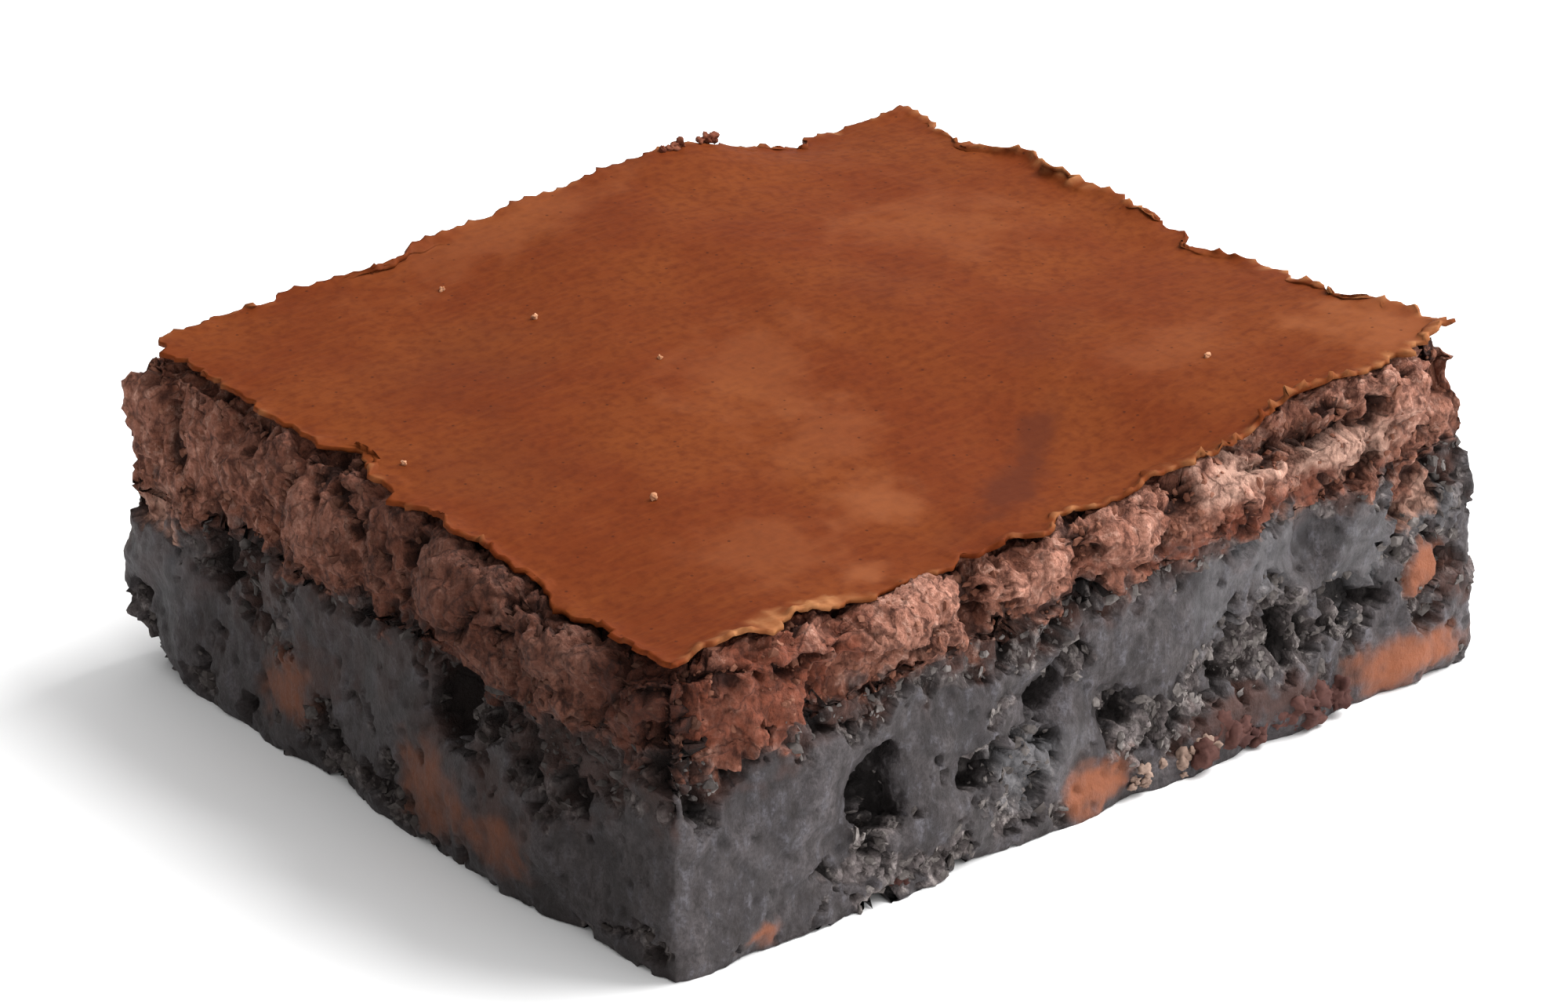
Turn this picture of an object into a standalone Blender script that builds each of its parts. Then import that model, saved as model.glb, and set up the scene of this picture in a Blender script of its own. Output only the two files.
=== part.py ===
"""A knife-cut chocolate brownie, standing on its flat base with +Z up.

Two solids: the dense dark fudge base, and the drier, paler cake layer that baked over it. The thin baked skin
is the top of the cake layer, and shows at the sides as a ragged lip over a dark groove.
The origin is the centre of the bounding box, at the level the brownie stands on.
"""

import math

import bmesh
import bpy
from mathutils import Vector, noise

MM = 0.001

# Driving sizes, in millimetres. X runs along the longer cut side, and the near cut face looks along -Y.
WIDTH = 75.0
DEPTH = 63.2
CORNER_HEIGHTS = {"near_left": 22.4, "near_right": 26.6, "far_left": 25.6, "far_right": 27.3}
LAYER_HEIGHT = 16.0
LAYER_SLOPE_X = 0.030
LAYER_SLOPE_Y = -0.022
LAYER_GAP = 0.3
CELL = 1.45

# The baked top isn't level: middle, radius and rise of each swell or sag of the top.
SWELLS = (
    ((3.0, 31.0), 19.0, 1.6),
    ((13.0, 31.0), 6.0, 0.9),
    ((25.0, 31.0), 6.0, -0.8),
    ((-38.0, 33.0), 3.0, -0.4),
    ((37.0, -6.0), 14.0, -1.6),
    ((37.0, 1.0), 5.0, 1.0),
    ((-4.0, -31.0), 24.0, -2.3),
    ((-37.0, -19.0), 8.0, -1.0),
    ((0.0, 0.0), 22.0, 0.7),
    ((3.0, -21.0), 8.0, -0.4),
)
# On top of that the skin rolls gently: height and length of the rolls.
ROLL = 0.35
ROLL_LENGTH = 13.0

# The cut sides bow in or out: middle of the bow on the base, radius and outward shift.
BOWS = (
    ((10.0, 32.0), 16.0, 1.0),
    ((-37.0, -9.0), 20.0, 0.9),
    ((-37.5, 31.5), 9.0, 1.0),
    ((2.0, -31.5), 26.0, 0.5),
    ((37.5, -31.5), 6.0, 0.9),
    ((-20.0, -31.5), 12.0, 0.3),
    ((37.0, 6.0), 16.0, -0.6),
    ((-20.0, 32.0), 10.0, -0.5),
)
# The upright corners are pulled in by a share of their distance from the middle, over a short stretch of side:
# a higher sharpness makes the stretch shorter.
CORNER_PULL = 0.014
CORNER_SHARPNESS = 9
CORNER_FACING_SHARPNESS = 14
# The cut sides lean in by this much between the base and the skin.
TOP_SET_BACK = 0.7
# How fast the relief of the sides fades towards the middle of the top and of the base.
INWARD_FADE = 8

# Relief of the cut sides: the tearing of the fudge by the knife, crumb lumps, which are deeper in the cake layer,
# and the crumbled foot. The line between the layers waves.
TEAR_DEPTH = 0.85
TEAR_LENGTH = 8.0
TEAR_ROUGHNESS = 0.9
TEAR_OCTAVES = 3
FUDGE_LUMP_DEPTH = 0.45
CAKE_LUMP_DEPTH = 1.7
LUMP_SIZE = 3.7
LUMP_MEAN = 0.45
LAYER_BLEND = 2.0
FOOT_ROUNDING = 0.5
FOOT_HEIGHT = 1.7
FOOT_CRUMB_SIZE = 3.0
LAYER_WAVE = 0.6
LAYER_WAVE_LENGTH = 7.0

# Gas holes and torn hollows in the cut sides: middle, radius and depth of each.
HOLLOWS = (
    ((-20.1, -31.5, 8.3), 2.5, 1.9),
    ((-5.1, -31.5, 10.2), 2.2, 1.8),
    ((21.2, -31.5, 14.2), 2.1, 1.7),
    ((1.6, -31.5, 7.7), 1.9, 1.3),
    ((-12.0, -31.5, 7.2), 1.7, 1.0),
    ((14.6, -31.5, 7.0), 3.2, 1.2),
    ((-34.0, -31.5, 13.0), 1.8, 1.2),
    ((24.5, -31.5, 9.6), 2.0, 1.3),
    ((-12.2, -31.5, 19.8), 1.6, 1.3),
    ((-37.2, -7.8, 11.6), 2.8, 1.5),
    ((-37.2, -17.0, 11.1), 2.2, 0.9),
    ((-37.2, -29.2, 16.0), 2.4, 1.5),
    ((-37.2, 28.4, 6.2), 2.0, 1.1),
    ((-37.2, 19.5, 12.6), 3.0, 1.0),
    ((-37.2, -4.6, 20.2), 1.9, 1.4),
    ((37.2, -16.0, 8.6), 2.5, 1.6),
    ((37.2, 4.0, 11.0), 2.1, 1.4),
    ((37.2, 19.0, 6.4), 2.6, 1.5),
    ((24.0, 31.5, 9.4), 2.3, 1.6),
    ((3.0, 31.5, 12.2), 2.1, 1.4),
    ((-17.0, 31.5, 7.0), 2.8, 1.5),
    ((-31.0, 31.5, 12.0), 1.9, 1.2),
    ((-37.0, 31.2, -0.8), 3.6, 2.6),
    ((37.5, -31.5, 21.0), 6.0, 2.0),
)

# Coarse lumps of the cake layer that stand out of the cut sides: middle, radius and outward rise of each.
LUMPS = (
    ((-18.4, -31.5, 19.6), 2.8, 1.0),
    ((-7.6, -31.5, 19.2), 2.6, 0.9),
    ((2.6, -31.5, 19.9), 3.2, 0.9),
    ((12.4, -31.5, 20.3), 3.2, 0.8),
    ((20.4, -31.5, 20.2), 2.8, 0.9),
    ((29.6, -31.5, 22.4), 2.8, 1.0),
    ((-37.2, -10.0, 20.6), 3.8, 1.8),
    ((-37.2, 6.0, 20.4), 4.2, 0.7),
    ((-37.2, 15.6, 20.2), 3.6, 0.8),
    ((-37.2, -19.0, 19.6), 3.0, 0.8),
    ((-37.2, -26.4, 19.4), 2.8, 0.6),
    ((37.2, -22.0, 21.0), 3.4, 1.0),
    ((37.2, -5.0, 20.4), 3.0, 0.9),
    ((37.2, 12.0, 21.6), 4.0, 1.0),
    ((28.0, 31.5, 21.4), 3.4, 0.9),
    ((10.0, 31.5, 22.0), 3.8, 1.0),
    ((-9.0, 31.5, 21.0), 3.0, 0.8),
    ((-25.0, 31.5, 20.0), 3.6, 1.0),
)

# Where the baked skin has lifted off the cake layer at the rim: middle, radius and rise of each stretch.
LIFTED_SKIN = (
    ((20.0, -31.0), 5.0, 0.9),
    ((7.0, -31.0), 3.0, 0.4),
    ((-32.0, -31.5), 4.5, 0.5),
    ((-37.0, -9.5), 4.0, 0.6),
    ((37.0, 14.0), 6.0, 0.8),
    ((-14.0, 31.5), 5.0, 0.5),
)
# Where the skin has chipped away at the rim and bares the cake layer: middle, radius and depth of each chip.
CHIPPED_SKIN = (
    ((-37.5, 31.5), 4.0, 1.9),
    ((37.5, -31.5), 4.0, 1.5),
    ((-37.0, -5.5), 1.8, 0.9),
    ((-12.0, -31.5), 2.2, 0.8),
    ((37.0, 22.0), 3.0, 1.1),
    ((18.0, 31.5), 3.5, 1.0),
)
# Side profile of the cake layer from its foot to the skin: share of its height, and outward shift in millimetres.
CAKE_PROFILE = (
    (0.0, 0.0),
    (0.17, 0.15),
    (0.36, 0.3),
    (0.56, 0.35),
    (0.74, 0.15),
    (0.86, -0.6),
    (0.91, -0.4),
    (1.0, -0.55),
)
SKIN_GROOVE_ROW = 5
SKIN_ROWS = (6, 7)
GROOVE_DEPTH_UNDER_LIFT = 1.3
SKIN_RAGGED_DEPTH = 0.8
SKIN_RAGGED_LENGTH = 3.2
# Levels at which the noise is read for what runs along the rim, so that the patterns differ.
LAYER_NOISE_LEVEL = 40
SKIN_NOISE_LEVEL = 80

ON_RIM = 1 - 1e-4

FUDGE_COLOUR = (0.075, 0.060, 0.056)
BAKED_COLOUR = (0.262, 0.072, 0.026)


def ease(t):
    """0 below 0, 1 above 1, and a smooth step between."""
    t = min(max(t, 0.0), 1.0)
    return t * t * (3 - 2 * t)


def mound(place, middle, radius):
    """A round mound of height 1 at the middle, in as many dimensions as the two points have."""
    away = sum((a - b) ** 2 for a, b in zip(place, middle))
    return math.exp(-away / radius**2)


def mounds(place, table):
    return sum(size * mound(place, middle, radius) for middle, radius, size in table)


def top_height(x, y):
    """Height of the baked top over a point."""
    across = x / WIDTH + 0.5
    along = y / DEPTH + 0.5
    heights = CORNER_HEIGHTS
    near = heights["near_left"] * (1 - across) + heights["near_right"] * across
    far = heights["far_left"] * (1 - across) + heights["far_right"] * across
    level = near * (1 - along) + far * along
    roll = ROLL * noise.noise(Vector((x, y, 0)) / ROLL_LENGTH)
    return level + mounds((x, y), SWELLS) + roll


def layer_height(x, y, at_rim):
    """Height of the face between the fudge and the cake layer: a tilted plane inside, and a wavy line at the rim."""
    height = LAYER_HEIGHT + LAYER_SLOPE_X * x + LAYER_SLOPE_Y * y
    if at_rim:
        height += LAYER_WAVE * noise.noise(Vector((x, y, LAYER_NOISE_LEVEL)) / LAYER_WAVE_LENGTH)
    return height


def outward(u, v):
    """Direction, in the plan, that the cut side at a rim point of the unit square faces."""
    sharp = CORNER_FACING_SHARPNESS
    return Vector((math.copysign(abs(u) ** sharp, u), math.copysign(abs(v) ** sharp, v))).normalized()


def side_relief(x, y, z):
    """Outward shift of the cut side at a point of it: tears, cake lumps, holes and the crumbled foot."""
    place = Vector((x, y, z))
    torn = TEAR_DEPTH * noise.fractal(place / TEAR_LENGTH, TEAR_ROUGHNESS, 2.0, TEAR_OCTAVES)
    nearest = noise.voronoi(place / LUMP_SIZE)[0][0]
    cake = ease((z - layer_height(x, y, False)) / LAYER_BLEND + 0.5)
    lump_depth = FUDGE_LUMP_DEPTH * (1 - cake) + CAKE_LUMP_DEPTH * cake
    lumps = lump_depth * (LUMP_MEAN - nearest)
    foot = FOOT_ROUNDING * (1 - ease(z / FOOT_HEIGHT)) * (0.8 + noise.noise(place / FOOT_CRUMB_SIZE))
    leaning = TOP_SET_BACK * z / CORNER_HEIGHTS["near_left"]
    large = mounds((x, y, z), LUMPS) - mounds((x, y, z), HOLLOWS) + mounds((x, y), BOWS)
    return torn + lumps + large - foot - leaning


def plan_point(u, v):
    """The brownie's plan: the unit square with its corners pulled in, stretched to size."""
    pull = 1 - CORNER_PULL * abs(u * v) ** CORNER_SHARPNESS
    return u * pull * WIDTH / 2, v * pull * DEPTH / 2


def placed(u, v, height_at, shift_at):
    """Where a point of the box goes: the plan, pushed out by the relief of the side nearest to it.

    height_at gives the height over a plan point, and shift_at the outward shift at the side.
    """
    reach = max(abs(u), abs(v), 1e-6)
    rim_u, rim_v = u / reach, v / reach
    rim_x, rim_y = plan_point(rim_u, rim_v)
    shift = shift_at(rim_x, rim_y, height_at(rim_x, rim_y)) * reach**INWARD_FADE
    facing = outward(rim_u, rim_v)
    x, y = plan_point(u, v)
    x += facing.x * shift
    y += facing.y * shift
    return x, y


def box_of_cells(rows):
    """A unit box cut into cells: CELL wide in the plan, and this many rows high."""
    box = bmesh.new()
    bmesh.ops.create_cube(box, size=2.0)
    cuts = (round(WIDTH / CELL) - 1, round(DEPTH / CELL) - 1, rows - 1)
    for axis, count in enumerate(cuts):
        ends = {e: (e.verts[1].co - e.verts[0].co) for e in box.edges}
        along = [e for e, run in ends.items() if abs(run[axis]) > 0.5 * run.length]
        bmesh.ops.subdivide_edges(box, edges=along, cuts=count, use_grid_fill=True)
    return box


def join_level_cells(box, side):
    """Makes one face of the level inner cells of the box's top (side 1) or bottom (side -1)."""
    inner = [
        f
        for f in box.faces
        if all(v.co.z * side > ON_RIM and max(abs(v.co.x), abs(v.co.y)) < ON_RIM for v in f.verts)
    ]
    bmesh.ops.dissolve_faces(box, faces=inner)


def finished(box, name, colour, roughness):
    """The bmesh as a named object with its material, in the brownie's collection."""
    mesh = bpy.data.meshes.new(name)
    bmesh.ops.recalc_face_normals(box, faces=box.faces)
    box.to_mesh(mesh)
    box.free()
    mesh.transform(((MM, 0, 0, 0), (0, MM, 0, 0), (0, 0, MM, 0), (0, 0, 0, 1)))
    material = bpy.data.materials.new(name)
    material.use_nodes = True
    shader = material.node_tree.nodes["Principled BSDF"]
    shader.inputs["Base Color"].default_value = (*colour, 1.0)
    shader.inputs["Roughness"].default_value = roughness
    shader.inputs["Metallic"].default_value = 0.0
    mesh.materials.append(material)
    obj = bpy.data.objects.new(name, mesh)
    bpy.data.collections["brownie"].objects.link(obj)
    return obj


def fudge_base():
    """The dark, dense lower part, from the table up to the cake layer."""
    rows = round(LAYER_HEIGHT / CELL)
    box = box_of_cells(rows)
    join_level_cells(box, 1)
    join_level_cells(box, -1)
    for vertex in box.verts:
        u, v, w = vertex.co
        at_rim = max(abs(u), abs(v)) > ON_RIM
        share = (w + 1) / 2

        def height_at(x, y, share=share, at_rim=at_rim):
            return share * (layer_height(x, y, at_rim) - LAYER_GAP / 2)

        x, y = placed(u, v, height_at, side_relief)
        vertex.co = (x, y, height_at(*plan_point(u, v)))
    return finished(box, "fudge_base", FUDGE_COLOUR, 0.5)


def skin_edge(x, y):
    """How far the ragged skin reaches past the cake's side, in or out."""
    torn = noise.fractal(Vector((x, y, SKIN_NOISE_LEVEL)) / SKIN_RAGGED_LENGTH, 0.7, 2.0, 2)
    return SKIN_RAGGED_DEPTH * torn - mounds((x, y), CHIPPED_SKIN)


def cake_layer():
    """The paler, drier layer over the fudge, with its baked skin as a lip above a groove."""
    rows = len(CAKE_PROFILE) - 1
    box = box_of_cells(rows)
    join_level_cells(box, -1)
    for vertex in box.verts:
        u, v, w = vertex.co
        row = round((w + 1) / 2 * rows)
        at_rim = max(abs(u), abs(v)) > ON_RIM
        share, shift = CAKE_PROFILE[row]

        def height_at(x, y, share=share, row=row, at_rim=at_rim):
            foot = layer_height(x, y, at_rim) + LAYER_GAP / 2
            height = foot + share * (top_height(x, y) - foot)
            if row in SKIN_ROWS and at_rim:
                height += mounds((x, y), LIFTED_SKIN)
            return height

        def shift_at(x, y, z, shift=shift, row=row):
            if row in SKIN_ROWS:
                return mounds((x, y), BOWS) - TOP_SET_BACK + shift + skin_edge(x, y)
            if row == SKIN_GROOVE_ROW:
                shift -= GROOVE_DEPTH_UNDER_LIFT * mounds((x, y), LIFTED_SKIN) + mounds((x, y), CHIPPED_SKIN)
            return side_relief(x, y, z) + shift

        x, y = placed(u, v, height_at, shift_at)
        vertex.co = (x, y, height_at(*plan_point(u, v)))
    return finished(box, "cake_layer", BAKED_COLOUR, 0.62)


def centre_on_origin(parts):
    """Moves the parts together so that the origin is under the middle of their bounding box."""
    corners = [v.co for part in parts for v in part.data.vertices]
    middle = [(min(c[i] for c in corners) + max(c[i] for c in corners)) / 2 for i in (0, 1)]
    for part in parts:
        for vertex in part.data.vertices:
            vertex.co.x -= middle[0]
            vertex.co.y -= middle[1]


def main():
    for old in list(bpy.data.objects):
        bpy.data.objects.remove(old)
    bpy.context.scene.collection.children.link(bpy.data.collections.new("brownie"))
    centre_on_origin([fudge_base(), cake_layer()])


main()
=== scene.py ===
"""The looks of a square-cut chocolate brownie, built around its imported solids.

The fudge base and the cake layer are finer copies of their solids, with torn relief. A papery baked skin lies
on the cake layer, and loose crumb sits in the torn places. Sizes are in millimetres, and +Z is up.
"""

import math

import bpy
import numpy as np
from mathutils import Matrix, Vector, noise
from mathutils.bvhtree import BVHTree
from mathutils.kdtree import KDTree


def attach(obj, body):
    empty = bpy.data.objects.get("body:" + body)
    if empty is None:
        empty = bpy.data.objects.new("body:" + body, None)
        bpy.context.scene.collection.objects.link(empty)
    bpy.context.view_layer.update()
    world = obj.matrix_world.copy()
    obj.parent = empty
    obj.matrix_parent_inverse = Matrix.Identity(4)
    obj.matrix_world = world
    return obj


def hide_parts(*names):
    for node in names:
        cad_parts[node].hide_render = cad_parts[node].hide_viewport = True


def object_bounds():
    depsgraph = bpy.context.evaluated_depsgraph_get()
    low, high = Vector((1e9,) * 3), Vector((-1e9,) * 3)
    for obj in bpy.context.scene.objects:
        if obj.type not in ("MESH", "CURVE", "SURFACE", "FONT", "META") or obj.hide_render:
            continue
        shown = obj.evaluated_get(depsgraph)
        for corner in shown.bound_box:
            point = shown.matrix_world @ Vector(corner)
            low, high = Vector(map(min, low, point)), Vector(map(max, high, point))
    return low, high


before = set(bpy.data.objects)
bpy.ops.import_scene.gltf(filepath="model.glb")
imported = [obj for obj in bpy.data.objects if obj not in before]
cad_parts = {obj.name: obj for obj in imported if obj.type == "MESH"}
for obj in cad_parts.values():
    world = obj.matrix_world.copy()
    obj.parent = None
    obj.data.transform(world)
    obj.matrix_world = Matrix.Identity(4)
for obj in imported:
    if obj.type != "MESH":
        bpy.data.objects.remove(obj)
cad_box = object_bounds()

MM = 0.001
BODY = "root"
FUDGE_SLOT = "fudge"
TOP_SLOT = "baked_top"

# What noise_vector gives follows this seed, and without it it would follow the clock.
NOISE_SEED = 7
noise.seed_set(NOISE_SEED)

# The camera, fitted to the brownie's corners in a picture of 2000 x 1280.
LENS = 100.0
SENSOR = 36.0
CLIP_NEAR = 0.01
CLIP_FAR = 100.0
CAMERA_AZIMUTH = -40.11
CAMERA_ELEVATION = 23.60
CAMERA_DISTANCE = 316.5
CAMERA_AIM = Vector((-0.157, 0.498, 12.69))

# The light: one large soft key high on the right, under a white sky that is dimmer on the side away from it.
KEY_DIRECTION = (0.93, -0.37)
KEY_ELEVATION = 51.0
KEY_DISTANCE = 700.0
KEY_SIZE = 540.0
KEY_POWER = 8.0
SKY_BRIGHT = 1.55
SKY_DIM = 0.35
SKY_BRIGHT_SIDE = (0.62, -0.78)
SKY_SPREAD = 0.8
FLOOR_SIZE = 6000.0

# Places are given as measured, before the solids were centred on their box. That moved them by this.
CENTRING = Vector((0.82, -0.33, 0.0))

# Where the foot of the near cut face is.
NEAR_FOOT = -31.9

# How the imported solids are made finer. Only faces below these sizes are cut, so the hidden ones stay.
MERGE = 0.02
QUAD_ANGLE = math.radians(75)
BASE_ANGLE = math.radians(2)
FUDGE_FACE_SIZE = 3.0
CAKE_FACE_SIZE = 2.9
SIDE_CUTS = 5
SKIN_CUTS = 3
# The face between the two layers as the solids have it, and how far both reach over the gap there.
LAYER_HEIGHT = 16.0
LAYER_SLOPE_X = 0.030
LAYER_SLOPE_Y = -0.022
LAYER_OVERLAP = 0.3
BORDER_BAND = 1.1

# The cake's shoulder under the skin: the steps in which it closes over the top, and how far under the solid's
# top it lies, at the shoulder and further in. Past the skin's rim it may rise a little over that top.
SHOULDER_STEPS = (0.98, 0.965, 0.95, 0.94, 0.84, 0.7, 0.5, 0.3)
SHOULDER_DROP = 1.0
TOP_DROP = 0.5
BARE_RISE = 0.15

# The baked skin: its thickness, how far it lies off the cake, how far its ragged rim and its lift reach in,
# how far it curls up at the rim on the near and on the far side, and how far it hangs over.
SKIN_THICKNESS = 0.34
SKIN_GAP = 0.10
RAGGED_REACH = 3.5
LIFT_REACH = 2.2
CURLS = (0.75, 0.30)
RIM_OVERHANG = 0.15
PALE_RIM_REACH = 0.9
SHOULDER_REACH = 6.0

# Noise that wanders or frays an edge, as heights and wave sizes.
BORDER_WANDER = ((1.6, 4.0), (1.5, 1.5), (1.0, 0.6))
PIT_FRAYING = ((0.45, 1.3), (0.30, 0.5))
SPOT_STRAY = ((1.1, 2.1), (0.45, 0.7))
RIM_TEARS = ((0.80, 3.1), (0.50, 1.2))
TONE_EDGE = ((0.5, 3.0), (0.3, 1.1))
EDGE_GRAIN = 2.2
# Steps aside in the noise, so that one layer of it doesn't follow another.
BROKEN_ASIDE = Vector((9, 9, 9))
BORDER_ASIDE = Vector((3, 3, 3))
SHARD_ASIDE = Vector((40, 0, 0))
GAP_ASIDE = Vector((0, 40, 0))
PLATE_ASIDE = Vector((0, 0, 40))
FINE_TEARS_ASIDE = Vector((5, 5, 5))
PALE_RIM_ASIDE = Vector((2, 2, 2))

# The two cut faces that the photo shows. The left one is in shade, which is painted into its colour as far as
# it reaches.
NEAR_CUT = -31.6
LEFT_CUT = -37.4
LEFT_FACE_TO_Y = 25.0
CORNER_DEPTH = 3.0
LEFT_FACE_BLEND = 2.4
# How much shade is painted on the left face: in its middle, how much it grows towards the near corner, how
# much more on the cake about a Y, and the most it gets.
SHADE_IN_MIDDLE = 0.85
SHADE_FALL_TO_FAR = 0.006
CAKE_SHADE_FALL = 0.015
CAKE_SHADE_FROM_Y = -8.0
MOST_SHADE = 0.92
BORDER_WIDTH = 1.1

# The relief of the cut faces. Flakes, shards, plates and the pebbles' knobs have a size, levels and octaves.
FLAKES = (5.2, 2.8, 4)
SHARDS = (1.9, 2.2, 4)
PLATES = (9.0, 1.8, 3)
KNOBS = (1.3, 2.4, 4)
WARP = 0.8
WARP_SIZE = 2.4
GRAIN_SIZE = 0.55
GAP_SIZE = 2.7
DRAG_WIDTH = 0.6
DRAG_LENGTH = 5.0
PORE_SPACING = 1.5
# How far each of them stands out or goes in, on torn cake, on its whole lumps, on torn and on smeared fudge.
CAKE_RELIEF = {"flake": 1.15, "shard": 0.50, "grain": 0.11, "gap": 0.9, "level": -0.12}
LUMP_RELIEF = {"flake": 0.6, "shard": 0.35, "level": 0.38}
CRUMB_RELIEF = {"flake": 0.50, "shard": 0.80, "grain": 0.11, "gap": 1.1, "sunk": 0.30}
SMEAR_RELIEF = {"plate": 0.40, "drag": 0.08, "grain": 0.08, "pore": 0.30}
MOST_RELIEF = 0.8
WOBBLE = 0.22
WOBBLE_SIZE = 0.9
# The foot of the sides stays near the solid's: the relief there, its growth upwards and the base rim's share.
FOOT_RELIEF = 0.2
FOOT_SLOPE = 0.4
FOOT_SHARE = 0.75

# Where the middles of the spots on each cut face lie: Y for the near and far faces, X for the other two.
FACE_AT = {"near": -31.5, "left": -37.2, "right": 37.2, "far": 31.5}
# How ragged and how soft the edge of each kind of spot is.
SPOT_EDGES = {
    "crumbly": (0.75, 0.3),
    "caramel": (0.35, 1.1),
    "tongue": (0.6, 0.3),
    "ruddy": (0.5, 0.8),
    "smooth": (0.4, 0.3),
    "pale": (0.5, 0.9),
    "lump": (0.35, 0.6),
    "stained": (0.7, 0.9),
}
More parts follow.
